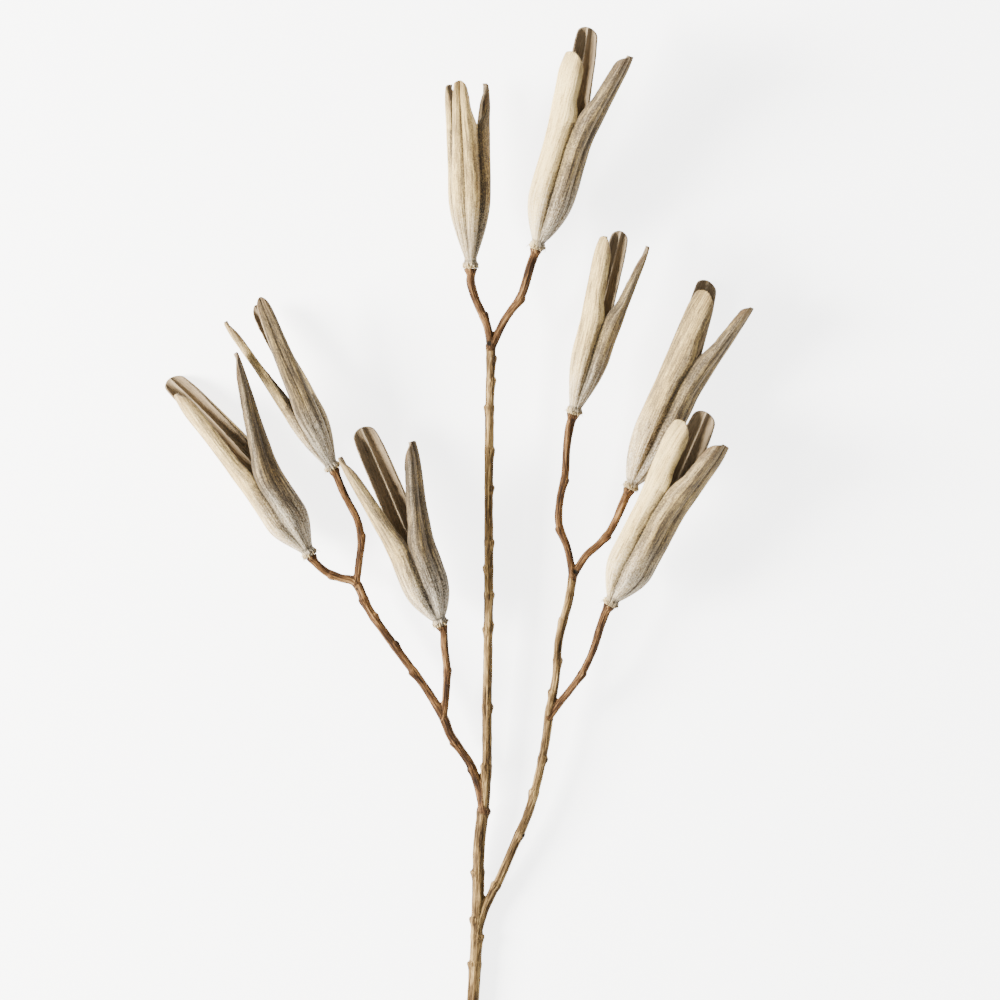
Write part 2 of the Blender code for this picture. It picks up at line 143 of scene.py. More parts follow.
PODS = (
    Pod("pod_left_outer", (124.2, 177.8, 12.2), -33.1, 2.0, -20, 9.0, 2.4, 19, 1.15,
        (0.42, 0.42, 0.42), (
            Valve(83.6, -12.0, 3.0, -75, 0.90, 0.85, 9, 0.66, 0.4),
            Valve(84.4, 20.8, 9.0, 84, 0.62, 0.45, 12, 0.20, 0.7),
            Valve(90.4, -8.8, -15.75, 178, 0.80, 0.85, 9, 0.5, 0.8))),
    Pod("pod_left_upper", (133.3, 212.4, 16.0), -26.6, 2.0, -50, 7.4, 2.4, 25, 1.0,
        (0.31, 0.42, 0.31), (
            Valve(72.0, -13.5, 1.0, -68, 0.68, 0.40, 10, 0.60, 0.4),
            Valve(74.5, 4.6, 12.0, -4, 0.94, 0.56, 11, 0.24, 0.3),
            Valve(72.6, 1.8, -12.0, 160, 0.70, 0.60, 9, 0.6, 0.8))),
    Pod("pod_left_inner", (176.4, 150.1, 15.0), -21.0, 8.0, -8, 9.2, 2.4, 20, 0.85,
        (0.42, 0.42, 0.42), (
            Valve(78.3, -15.2, 5.0, -85, 0.70, 0.55, 11, 0.54, 0.9),
            Valve(74.2, 16.9, 8.0, 62, 0.74, 0.62, 8, 0.20, 1.2),
            Valve(84.3, -1.3, -14.0, 178, 0.93, 0.85, 10, 0.4, 0.8))),
    Pod("pod_top_left", (188.3, 292.8, 19.0), -1.0, 2.0, 45, 8.4, 4.0, 31, 1.0,
        (0.75, 0.64, 0.53), (
            Valve(74.6, -3.6, 9.0, -17, 0.85, 0.48, 6, 0.62, 1.0),
            Valve(73.5, 8.8, -1.5, 98, 0.70, 0.38, 10, 0.28, 0.9),
            Valve(73.4, -8.8, -5.5, 245, 0.72, 0.42, 8, 0.7, 0.8))),
    Pod("pod_top_right", (214.6, 300.8, 17.0), 16.3, 12.0, 0, 9.0, 2.6, 23, 0.95,
        (0.64, 0.53, 0.53), (
            Valve(81.0, -8.9, 9.0, -36, 0.97, 0.90, 9, 0.95, 0.15),
            Valve(85.5, 16.2, 7.0, 72, 0.76, 0.80, 5, 0.30, 1.2),
            Valve(89.4, -4.8, -14.0, 180, 0.78, 0.80, 9, 0.4, 0.8))),
    Pod("pod_right_upper", (229.4, 234.8, 17.0), 16.4, 9.0, 8, 7.6, 2.6, 28, 1.0,
        (0.53, 0.42, 0.42), (
            Valve(72.5, -9.4, 8.0, -45, 0.95, 0.72, 10, 0.72, 0.2),
            Valve(73.3, 10.8, 5.0, 80, 0.60, 0.26, 10, 0.34, 1.0),
            Valve(74.3, -2.4, -13.0, 184, 0.80, 0.78, 9, 0.4, 0.8))),
    Pod("pod_right_middle", (252.0, 204.6, 13.0), 25.0, 1.0, 5, 9.0, 2.6, 28, 0.75,
        (0.64, 0.53, 0.53), (
            Valve(84.4, -7.2, 9.0, -33, 0.98, 0.92, 10, 0.58, 0.2),
            Valve(86.1, 14.9, 7.0, 78, 0.60, 0.64, 4, 0.32, 0.9),
            Valve(89.0, -6.6, -14.95, 182, 0.78, 0.82, 9, 0.4, 0.8))),
    Pod("pod_right_lower", (243.9, 158.2, 17.0), 27.8, 8.0, -15, 9.6, 2.4, 19, 0.95,
        (0.64, 0.53, 0.53), (
            Valve(79.6, -9.8, 6.0, -35, 0.97, 0.76, 9, 0.90, 0.5),
            Valve(79.1, 12.2, 8.0, 58, 0.78, 0.80, 5, 0.40, 0.8),
            Valve(85.3, -1.4, -14.0, 178, 0.85, 0.86, 10, 0.4, 0.8))),
)

# A stretch of stem: places with diameters, the pod that it ends in, and how far
# along it and on which side each leaf scar lies
Run = namedtuple("Run", "points pod scars")

# Dark pits of the stem, each with its radius
PITS = ((195.6, 262.6, 0.8), (230.2, 171.2, 0.8), (209.6, 65.4, 0.5), (196.5, 76.2, 0.6),
        (210.4, 82.0, 0.5), (226.8, 173.4, 0.4), (186.8, 92.8, 0.4), (142.6, 164.2, 0.4))

RUNS = (
    Run(((188.8, -12.0, 2.5, 5.0), (189.2, 0.0, 2.7, 5.0), (190.4, 20.0, 3.2, 4.9),
         (191.2, 40.0, 3.9, 4.9), (191.6, 60.0, 5.0, 4.8), (193.2, 76.0, 6.2, 4.8),
         (194.4, 88.0, 7.0, 4.3), (194.8, 100.0, 7.8, 4.0), (194.8, 120.0, 9.1, 3.9),
         (195.2, 140.0, 10.3, 3.8), (195.5, 170.0, 12.0, 3.7), (195.5, 200.0, 13.6, 3.6),
         (195.7, 220.0, 14.5, 3.7), (196.0, 240.0, 15.4, 3.6), (196.3, 253.0, 15.9, 3.8),
         (196.3, 262.0, 16.3, 4.2)), None,
        ((26, LEFT), (37, RIGHT), (44, LEFT), (63, LEFT), (88, RIGHT), (106, LEFT),
         (130, RIGHT), (161, LEFT), (163, RIGHT), (175, RIGHT), (186, LEFT), (196, RIGHT),
         (218, RIGHT), (233, RIGHT), (250, LEFT), (261, RIGHT), (270, RIGHT))),
    Run(((193.2, 75.2, 6.3, 3.4), (192.0, 82.0, 6.6, 3.6), (190.4, 88.0, 6.9, 3.6),
         (188.0, 94.0, 7.2, 3.6), (184.0, 100.0, 7.5, 3.6), (180.0, 106.0, 7.9, 3.7),
         (177.2, 113.0, 8.4, 3.9), (170.0, 124.8, 8.9, 3.4), (158.8, 140.0, 9.5, 3.4),
         (148.0, 155.2, 10.1, 3.4), (142.4, 166.6, 10.6, 3.8), (136.0, 168.8, 11.0, 3.3),
         (130.4, 171.2, 11.4, 3.2)), "pod_left_outer",
        ((18, LEFT), (31, LEFT), (64, LEFT), (77, RIGHT), (91, RIGHT), (99, LEFT),
         (117, LEFT))),
    Run(((142.4, 166.4, 10.6, 3.0), (143.6, 176.0, 11.6, 3.1), (144.4, 184.0, 12.6, 3.1),
         (142.9, 192.0, 13.6, 3.0), (139.5, 198.8, 14.5, 3.0), (136.7, 204.6, 15.2, 3.2)),
        "pod_left_upper", ((20, RIGHT),)),
    Run(((177.2, 112.6, 8.4, 3.0), (178.2, 120.0, 9.4, 3.1), (178.8, 132.0, 11.8, 3.1),
         (177.8, 141.0, 13.5, 3.2)), "pod_left_inner", ((20, RIGHT),)),
    Run(((196.4, 260.6, 16.3, 3.2), (194.8, 270.0, 16.9, 3.4), (190.4, 280.0, 17.8, 3.4),
         (188.4, 286.5, 18.5, 3.6)), "pod_top_left", ((14, RIGHT),)),
    Run(((196.4, 260.4, 16.3, 3.2), (200.8, 270.0, 16.6, 3.3), (204.2, 275.4, 16.7, 3.3),
         (207.9, 280.4, 16.8, 3.4), (210.2, 286.5, 16.8, 3.5), (212.0, 293.0, 16.9, 3.6)),
        "pod_top_right", ((24, RIGHT),)),
    Run(((190.8, 24.0, 3.4, 3.2), (192.0, 30.0, 3.6, 3.6), (194.0, 36.0, 4.0, 3.6),
         (196.8, 42.0, 4.5, 3.6), (200.0, 48.0, 5.0, 3.6), (206.0, 62.0, 6.2, 3.6),
         (211.2, 74.0, 7.2, 3.8), (215.2, 88.0, 8.3, 3.7), (218.4, 104.0, 9.4, 3.5),
         (219.7, 114.0, 10.1, 4.0), (220.8, 120.0, 10.4, 3.5), (222.5, 130.0, 11.0, 3.4),
         (223.6, 144.0, 11.7, 3.4), (227.4, 159.0, 12.3, 3.4), (229.2, 170.0, 12.7, 3.8)),
        None,
        ((23, LEFT), (46, RIGHT), (64, LEFT), (78, RIGHT), (105, LEFT), (118, RIGHT),
         (134, LEFT))),
    Run(((219.6, 112.6, 10.1, 3.0), (224.0, 118.8, 10.9, 3.1), (228.2, 124.0, 11.8, 3.0),
         (233.2, 131.2, 13.0, 3.0), (237.2, 140.0, 14.4, 3.1), (240.0, 149.0, 15.8, 3.4)),
        "pod_right_lower", ((23, RIGHT),)),
    Run(((229.2, 168.6, 12.7, 3.0), (227.2, 180.0, 13.2, 3.0), (223.7, 190.0, 13.7, 3.1),
         (224.0, 200.0, 14.3, 3.1), (226.0, 210.0, 15.0, 3.2), (226.6, 220.0, 15.8, 3.3),
         (227.6, 228.0, 16.5, 3.6)), "pod_right_upper", ((21, LEFT), (41, RIGHT))),
    Run(((229.2, 169.2, 12.7, 3.0), (234.0, 177.2, 12.8, 3.1), (239.2, 182.0, 12.9, 3.1),
         (243.2, 186.4, 13.0, 3.1), (246.2, 191.6, 13.0, 3.2), (249.0, 198.0, 13.0, 3.5)),
        "pod_right_middle", ((22, RIGHT),)),
)


def between(low, high, share):
    return low + (high - low) * share


def clamped(value):
    return min(1.0, max(0.0, value))


def eased(value):
    value = clamped(value)
    return value * value * (3.0 - 2.0 * value)


def bump(distance, width):
    return exp(-(distance / width) ** 2)


def wander(x, y, z=0.0):
    """Smooth seeded waviness, from about -1 to 1."""
    return noise.noise((x, y, z))


def place_on_plan(point):
    """Plan millimetres to the model's metres."""
    x, y, z = point
    return Vector(((x - PLAN_CENTRE[0]) * MM, (y - PLAN_CENTRE[1]) * MM, max(z, 0.02) * MM))


# The pods

def across_places():
    """Where a valve's columns lie, from its left seam at -1 to its right at 1.

    They stand closer together towards the seams, where the edge curls in."""
    steps = [2.0 * count / COLUMNS - 1.0 for count in range(COLUMNS + 1)]
    return [between(step, sin(step * pi / 2.0), SEAM_CROWDING) for step in steps]


def row_places():
    """Heights of the rows as shares of the length, closer at both ends."""
    shares = [count / ROWS for count in range(ROWS + 1)]
    return [share - END_CROWDING * sin(2.0 * pi * share) for share in shares]


ACROSS = across_places()
ROW_PLACES = row_places()


def pod_axes(pod):
    """The pod's own right, along and front directions."""
    heading, tilt = radians(pod.heading), radians(pod.tilt)
    along = Vector((sin(heading) * cos(tilt), cos(heading) * cos(tilt), sin(tilt)))
    right = Vector((cos(heading), -sin(heading), 0.0))
    return right, along, right.cross(along)


def body_radius(pod, height):
    if height < COLLAR_LENGTH:
        share = sin(pi * (height + 0.5) / (COLLAR_LENGTH + 0.5))
        return between(NECK_RADIUS, COLLAR_RADIUS, share)
    rise = clamped((height - pod.neck) / (pod.shoulder - pod.neck))
    return between(NECK_RADIUS, pod.girth, sin(rise * pi / 2.0) ** pod.fill)


def wall_relief(pod, side, across, height, fullness):
    """How far the outside stands out, in millimetres: lobes, grooves and fibres."""
    seed = pod.seam * 0.37 + side * 7.1
    around = (side * 2.0 + across) * 9.0
    mid = abs(across - 0.05 * wander(seed, height * 0.05))
    seam = 1.0 - abs(across)
    relief = LOBE_RIDGE * (0.3 + 0.7 * pod.valves[side].groove) * bump(mid - LOBE_PLACE, 0.24)
    relief -= pod.valves[side].groove * (0.45 * bump(mid, 0.2) + 0.55 * bump(mid, 0.06))
    relief -= SEAM_GROOVE * (0.8 * bump(seam, 0.24) + 0.2 * bump(seam, 0.06))
    fibres = wander(around * 1.3, height * 0.06, seed)
    fibres += 0.6 * wander(around * 3.1, height * 0.16, seed + 3.0)
    dents = wander(around * 0.22, height * 0.09, seed + 9.0)
    return fullness * (relief + DENTS * dents) + FIBRES * fibres


def collar_fray(side, across, height):
    """The collar's torn rim, in millimetres."""
    if height > 1.6 * COLLAR_LENGTH:
        return 0.0
    around = (side * 2.0 + across) * pi / 3.0
    torn = wander(4.0 * sin(around), 4.0 * cos(around), height * 0.9)
    torn += 0.7 * wander(9.0 * sin(around), 9.0 * cos(around), height * 2.2)
    return COLLAR_FRAY * torn * bump(height - 0.35 * COLLAR_LENGTH, 0.5 * COLLAR_LENGTH)


def valve_point(pod, side, row, across, inner):
    """A point of a valve's outer or inner face, in the pod's own directions."""
    valve = pod.valves[side]
    end = clamped((row - ROUND_FROM) / (1.0 - ROUND_FROM))
    row -= end * valve.rounding / valve.along * (1.0 - sqrt(max(0.0, 1.0 - across ** 2)))
    mean_length = sum(each.along for each in pod.valves) / VALVES
    stretch = eased((row - STRETCH_FROM) / (1.0 - STRETCH_FROM))
    height = row * mean_length + (valve.along - mean_length) * stretch

    opens = min(pod.splits[side], pod.splits[side - 1]) - SWING_LEAD
    opened = clamped((row - opens) / (1.0 - opens))
    swing = opened ** SWING_POWER
    roll = pod.seam - 60.0 + 120.0 * side
    turn = (valve.facing - roll + 180.0) % 360.0 - 180.0
    facing = radians(roll + turn * swing)
    tip_arc = valve.curl * pod.girth
    arc = between(body_radius(pod, height), tip_arc, swing)
    centre_right = swing * (valve.right - tip_arc * sin(radians(valve.facing)))
    centre_front = swing * (valve.front - tip_arc * cos(radians(valve.facing)))

    half_width = arc * pi / 3.0
    if opened > 0.0:
        ragged = RAGGED_EDGE * wander(height * 0.45, side * 5.0 + across * 2.0, pod.seam)
        ragged *= clamped(4.0 * swing) * abs(across) ** 8
        half_width = pod.girth * pi / 3.0 * between(1.0, valve.breadth, opened) - EDGE_GAP + ragged
    angle = facing + across * half_width / arc

    fullness = clamped((arc - NECK_RADIUS) / (0.6 * pod.girth))
    relief = wall_relief(pod, side, across, height, fullness)
    hook = TIP_HOOK * valve.curl ** 2 * clamped((row - HOOK_FROM) / (1.0 - HOOK_FROM)) ** 2
    radius = arc + relief + collar_fray(side, across, height) - hook
    if inner:
        blade = bump(across - 0.03 * wander(height * 0.12, side * 3.0), BLADE_WIDTH)
        blade += 0.35 * bump(across, 0.2)
        ragged_top = 1.0 + 0.25 * wander(height * 0.35, side * 4.0, 2.0)
        radius = arc - WALL - EDGE_THICKENING * abs(across) ** 3 + 0.6 * relief - hook
        radius -= SEPTUM_HEIGHT * fullness * blade * ragged_top * clamped(1.25 - row)
        radius = max(radius, NARROWEST)
        height += POD_FLOOR * clamped(1.0 - row / FLOOR_TOP) ** 2
    return Vector((centre_right + radius * sin(angle), height,
                   centre_front + radius * cos(angle)))


def seam_pull(pod, seam, row, inner):
    """How far each side of a seam is drawn towards the other: wholly where the
    seam is closed, and less and less above that."""
    hold = 1.0 - eased((row - pod.splits[seam]) / SPLIT_FADE)
    left = valve_point(pod, seam, row, 1.0, inner)
    right = valve_point(pod, (seam + 1) % VALVES, row, -1.0, inner)
    return (right - left) * 0.5 * hold


def shell_point(pod, side, row, column, inner, pulls):
    """A valve's point, drawn to its neighbour where their seam is closed."""
    across = ACROSS[column]
    point = valve_point(pod, side, row, across, inner)
    seam, sign = (side, 1.0) if across > 0.0 else ((side - 1) % VALVES, -1.0)
    share = eased((abs(across) - SEAM_REACH) / (1.0 - SEAM_REACH))
    if share == 0.0 or row > pod.splits[seam] + SPLIT_FADE:
        return point
    key = (seam, row, inner)
    if key not in pulls:
        pulls[key] = seam_pull(pod, seam, row, inner)
    return point + pulls[key] * (sign * share)


def wall_tone(pod, side, row, across, inner):
    """Shares of inside, painted shade in the grooves, seam valleys and hollows of the lining with
    a dark line round the collar, pale edge or bloom, and browned tip.
    """
    mid = abs(across)
    seam = 1.0 - mid
    if inner:
        # Painted shade in the lining's hollows, between the septum and the edges
        groove = bump(mid - HOLLOW_PLACE, 0.22) * clamped(1.6 - row)
        frost = bump(across, 0.08) + bump(seam, 0.1)
    else:
        depth = clamped(pod.valves[side].groove)
        # Painted shade down the middle groove and in the valleys along the seams, weaker above the
        # splits
        groove = depth * (0.8 * bump(mid, 0.05) + 0.3 * bump(mid, 0.13))
        groove += (0.6 * bump(seam, 0.08) + (0.35 + 0.75 * depth) * bump(seam, 0.27)) * (
            1.0 if row < max(pod.splits) else 0.3)
        groove *= clamped(row * 8.0)
        groove += 0.8 * bump(row - COLLAR_LINE, 0.007)
        frost = 1.1 * clamped(1.0 - row / BLOOM_HEIGHT) * clamped(0.25 + row * 20.0)
        frost += 0.2 * bump(seam - 0.3, 0.1)
    tip = eased((row - TIP_FROM) / (1.0 - TIP_FROM)) * (0.4 + 0.6 * mid)
    return (float(inner), clamped(groove), clamped(frost), tip)


def note_places(strip, row, number, places):
    """Numbers the strip's points and notes the valve, row and column of each."""
    for vert, side, column in strip:
        vert[number] = len(places)
        places.append((side, row, column))


def cut_at_seam(strips, seam, closed):
    """Cuts the strip that holds a seam, so that its two sides rise apart."""
    cut = []
    for strip in strips:
        starts = [count for count, (vert, side, column) in enumerate(strip)
                  if side == (seam + 1) % VALVES and column == 0]
        if not starts:
            cut.append(strip)
            continue
        at = starts[0]
        edge = (strip[at][0], seam, COLUMNS)
        if closed:
            cut.append(strip[at:-1] + strip[:at] + [edge])
        else:
            cut += [strip[:at] + [edge], strip[at:]]
    return cut


def raise_strip(bm, strip, row, number, places):
    """Extrudes a strip upwards by one row."""
    edges = [bm.edges.get((low[0], high[0])) for low, high in zip(strip, strip[1:])]
    grown = bmesh.ops.extrude_edge_only(bm, edges=edges)
    above = {item[number]: item for item in grown["geom"] if isinstance(item, bmesh.types.BMVert)}
    raised = [(above[vert[number]], side, column) for vert, side, column in strip]
    note_places(raised, row, number, places)
    return raised


def seed_pod(pod, finish):
    """Three valves in one closed body, joined below and split apart above."""
    bm = bmesh.new()
    number = bm.verts.layers.int.new("number")
    fibre = bm.verts.layers.float_vector.new("fibre")
    tone = bm.verts.layers.float_color.new("tone")
    # Paleness of each valve's wall, partly its own tone and partly painted shade that darkens the
    # valves facing away from the lamp
    pale = bm.verts.layers.float.new("pale")
    places = [None]
    ring = bmesh.ops.create_circle(bm, cap_ends=True, cap_tris=True, segments=VALVES * COLUMNS)
    around = ring["verts"][1:]
    strip = [(vert, count // COLUMNS, count % COLUMNS) for count, vert in enumerate(around)]
    strip.append((around[0], VALVES - 1, COLUMNS))
    note_places(strip, ROW_PLACES[0], number, places)
    strips = [strip]
    closed = True
    for below, row in zip(ROW_PLACES, ROW_PLACES[1:]):
        for seam in range(VALVES):
            if below <= pod.splits[seam] < row:
                strips = cut_at_seam(strips, seam, closed)
                closed = False
        strips = [raise_strip(bm, strip, row, number, places) for strip in strips]

    inside = bmesh.ops.extrude_face_region(bm, geom=bm.faces[:])
    inside_verts = {item for item in inside["geom"] if isinstance(item, bmesh.types.BMVert)}
    right, along, front = pod_axes(pod)
    pulls = {}
    for vert in bm.verts:
        inner = vert in inside_verts
        point = Vector((0.0, POD_FLOOR if inner else -BASE_DROP, 0.0))
        if places[vert[number]]:
            side, row, column = places[vert[number]]
            point = shell_point(pod, side, row, column, inner, pulls)
            if row == 0.0 and not inner:
                point.y -= BASE_DROP
            turn = radians(120.0 * side + 60.0 * ACROSS[column])
            width = 7.0 if inner else 9.0
            vert[fibre] = (width * sin(turn) + pod.base[0], row * 82.0, width * cos(turn))
            vert[tone] = wall_tone(pod, side, row, ACROSS[column], inner)
            # Near closed seams the paleness, with its painted shade, blends into the neighbouring
            # valve's
            edge = abs(ACROSS[column]) ** 3 * 0.5
            neighbour = pod.valves[(side + (1 if ACROSS[column] > 0 else -1)) % VALVES].pale
            share = edge if row < max(pod.splits) else 0.0
            vert[pale] = between(pod.valves[side].pale, neighbour, share)
        vert.co = place_on_plan(Vector(pod.base) + right * point.x + along * point.y
                                + front * point.z)
    collar_threads(bm, pod, (fibre, tone, pale))
    return finished_piece(bm, pod.name, finish)


def collar_threads(bm, pod, layers):
    """Torn threads that hang from the collar's rim, each a tapered sliver."""
    fibre, tone, pale = layers
    right, along, front = pod_axes(pod)
    for count in range(THREADS):
        start = Vector((pod.base[0], count * 3.7, 0.5))
        turn = radians(360.0 * count / THREADS + 20.0 * noise.noise(start))
        length = THREAD_LENGTH * (1.0 + 0.6 * noise.noise(start * 1.3))
        outward = right * sin(turn) + front * cos(turn)
        sideways = right * cos(turn) - front * sin(turn)
        bend = noise.noise(start * 2.1)
        root = Vector(pod.base) + outward * (0.85 * COLLAR_RADIUS) + along * (0.35 * COLLAR_LENGTH)
        ring = bmesh.ops.create_circle(bm, cap_ends=True, segments=4)
        cap = ring["verts"][0].link_faces[0]
        for step in range(THREAD_STEPS + 1):
            if step:
                grown = bmesh.ops.extrude_face_region(bm, geom=[cap])["geom"]
                if step > 1:
                    bmesh.ops.delete(bm, geom=[cap], context="FACES_ONLY")
                cap = next(item for item in grown if isinstance(item, bmesh.types.BMFace))
            share = step / THREAD_STEPS
            reach = outward * (0.9 * share) - along * (share ** 2) + sideways * (bend * share ** 2)
            centre = root + reach * length
            thick = between(THREAD_THICK, THREAD_THIN, share)
            for corner, vert in enumerate(cap.verts):
                angle = corner * pi / 2.0
                vert.co = place_on_plan(centre + sideways * (thick * cos(angle))
                                        + along * (thick * sin(angle)))
                vert[fibre] = (centre.x, centre.y, count)
                # The second share is a little painted shade on the threads
                vert[tone] = (0.0, 0.15, 0.2, 0.1)
                vert[pale] = 0.75


def finished_piece(bm, node, finish):
    """Turns a closed bmesh into the piece that stands for a node."""
    bmesh.ops.recalc_face_normals(bm, faces=bm.faces)
    mesh = bpy.data.meshes.new("dried_" + node)
    bm.to_mesh(mesh)
    bm.free()
    mesh.materials.append(finish)
    mesh.shade_smooth()
    piece = bpy.data.objects.new("dried_" + node, mesh)
    bpy.context.scene.collection.objects.link(piece)
    return piece


# The stem

def spline_point(knots, span, share):
    """A point, with its diameter, on a smooth curve through the knots."""
    before, start, end, after = (knots[min(max(count, 0), len(knots) - 1)]
                                 for count in range(span - 1, span + 3))
    square, cube = share ** 2, share ** 3
    return tuple(0.5 * (2.0 * b + (c - a) * share + (2.0 * a - 5.0 * b + 4.0 * c - d) * square
                        + (3.0 * b - a - 3.0 * c + d) * cube)
                 for a, b, c, d in zip(before, start, end, after))


def route_samples(knots):
    """Close points along a run, each with its distance from the run's start."""
    samples, distance = [], 0.0
    for span in range(len(knots) - 1):
        for step in range(SPLINE_STEPS):
            samples.append(spline_point(knots, span, step / SPLINE_STEPS))
    samples.append(knots[-1])
    places = [Vector(sample[:3]) for sample in samples]
    route = []
    for count, place in enumerate(places):
        if count:
            distance += (place - places[count - 1]).length
        ahead = places[min(count + 1, len(places) - 1)] - places[max(count - 1, 0)]
        route.append((distance, place, ahead.normalized(), samples[count][3] / 2.0))
    return route


def at_distance(route, distance):
    """The place, direction and radius at a distance along a run."""
    for low, high in zip(route, route[1:]):
        if high[0] >= distance:
            share = clamped((distance - low[0]) / (high[0] - low[0]))
            return (low[1].lerp(high[1], share), low[2].lerp(high[2], share).normalized(),
                    between(low[3], high[3], share))
    return route[-1][1:]


def run_route(run, pods):
    knots = list(run.points)
    if run.pod:
        pod = pods[run.pod]
        along = pod_axes(pod)[1]
        width = knots[-1][3]
        for back in (STALK_GAP + FLARE_LENGTH, STALK_GAP):
            knots.append((*(Vector(pod.base) - along * back), width))
    return route_samples(knots)


def stem_relief(run_number, distance, angle, scars):
    """How much wider than its radius the stem is at a place: scars and ribs."""
    factor = 1.0
    for place, side in scars:
        facing = max(0.0, cos(angle - radians(side)))
        rise = bump(place - distance, SCAR_SLOPE if distance <= place else SCAR_LEDGE)
        factor += (SCAR_RISE * facing + RING_RISE) * rise
    ribs = wander(2.2 * cos(angle) + run_number * 5.0, 2.2 * sin(angle), distance * 0.035)
    knobs = wander(run_number * 3.0, cos(angle), distance * 0.22)
    return factor + RIBS * ribs + KNOBS * knobs


def stem_tube(bm, run_number, run, route):
    """Raises one stretch of stem as a closed tube, ring by ring."""
    length = route[-1][0]
    ring = bmesh.ops.create_circle(bm, cap_ends=True, segments=STEM_SIDES)
    cap = ring["verts"][0].link_faces[0]
    number = bm.verts.layers.int["number"]
    for count, vert in enumerate(ring["verts"]):
        vert[number] = count
    steps = max(2, round(length / STEM_STEP))
    for step in range(steps + 1):
        if step > 0:
            grown = bmesh.ops.extrude_face_region(bm, geom=[cap])["geom"]
            if step > 1:
                bmesh.ops.delete(bm, geom=[cap], context="FACES_ONLY")
            cap = next(item for item in grown if isinstance(item, bmesh.types.BMFace))
        distance = length * step / steps
        place, ahead, radius = at_distance(route, distance)
        right = ahead.cross(Vector((0.0, 0.0, 1.0))).normalized()
        front = right.cross(ahead)
        if run.pod:
            radius *= between(1.0, STALK_FLARE,
                              eased((distance - length + FLARE_LENGTH) / FLARE_LENGTH))
        for vert in cap.verts:
            angle = 2.0 * pi * vert[number] / STEM_SIDES
            reach = radius * stem_relief(run_number, distance, angle, run.scars)
            vert.co = place_on_plan(place + (front * cos(angle) + right * sin(angle)) * reach)


def branching_stem(finish):
    """All stretches of stem, grown together at their forks."""
    pods = {pod.name: pod for pod in PODS}
    routes = [run_route(run, pods) for run in RUNS]
    bm = bmesh.new()
    bm.verts.layers.int.new("number")
    for run_number, (run, route) in enumerate(zip(RUNS, routes)):
        stem_tube(bm, run_number, run, route)
    stem = finished_piece(bm, "stem", finish)
    grown = stem.modifiers.new("grown", "REMESH")
    grown.mode = "VOXEL"
    grown.voxel_size = STEM_VOXEL * MM
    even = stem.modifiers.new("even", "SMOOTH")
    even.factor = 0.5
    even.iterations = 1
    fused = bpy.data.meshes.new_from_object(
        stem.evaluated_get(bpy.context.evaluated_depsgraph_get()))
    stem.modifiers.clear()
    stem.data = fused
    fused.name = "dried_stem"
    fused.shade_smooth()
    grain_along_runs(fused, routes)
    return stem


def grain_along_runs(mesh, routes):
    """Notes each point's place round and along its stretch of stem, and sinks
    the streaks and pits into the bark."""
    samples = []
    for run_number, route in enumerate(routes):
        length = route[-1][0]
        for step in range(round(length) + 1):
            place, ahead, radius = at_distance(route, min(length, step))
            samples.append((place_on_plan(place), ahead, run_number, float(step), length))
    tree = KDTree(len(samples))
    for count, sample in enumerate(samples):
        tree.insert(sample[0], count)
    tree.balance()
    mesh.attributes.new("grain", "FLOAT_VECTOR", "POINT")
    mesh.attributes.new("stalk", "FLOAT", "POINT")
    mesh.attributes.new("pit", "FLOAT", "POINT")
    grain, stalk, pit = (mesh.attributes[name] for name in ("grain", "stalk", "pit"))
    pits = [(place_on_plan((x, y, 0.0)).xy, reach * MM) for x, y, reach in PITS]
    normals = [vert.normal.copy() for vert in mesh.vertices]
    for vert, normal in zip(mesh.vertices, normals):
        place, ahead, run_number, distance, length = samples[tree.find(vert.co)[1]]
        away = (vert.co - place) / MM
        right = ahead.cross(Vector((0.0, 0.0, 1.0))).normalized()
        front = right.cross(ahead)
        grain.data[vert.index].vector = (away.dot(right) + 11.0 * run_number,
                                         distance + away.dot(ahead), away.dot(front))
        stalk.data[vert.index].value = 1.0 if RUNS[run_number].pod else 0.0
        depth = 0.0
        if normal.z > 0.2:
            depth = max(bump((vert.co.xy - place).length, reach) for place, reach in pits)
        pit.data[vert.index].value = clamped(PIT_SHARPNESS * depth)
        across, along, up = grain.data[vert.index].vector
        streaks = STREAKS * wander(across * 1.5, along * 0.05, up * 1.5)
        streaks += FINE_STREAKS * wander(across * 3.6, along * 0.2, up * 3.6)
        vert.co += normal * ((streaks - PIT_DEPTH * depth) * MM)


# Finishes

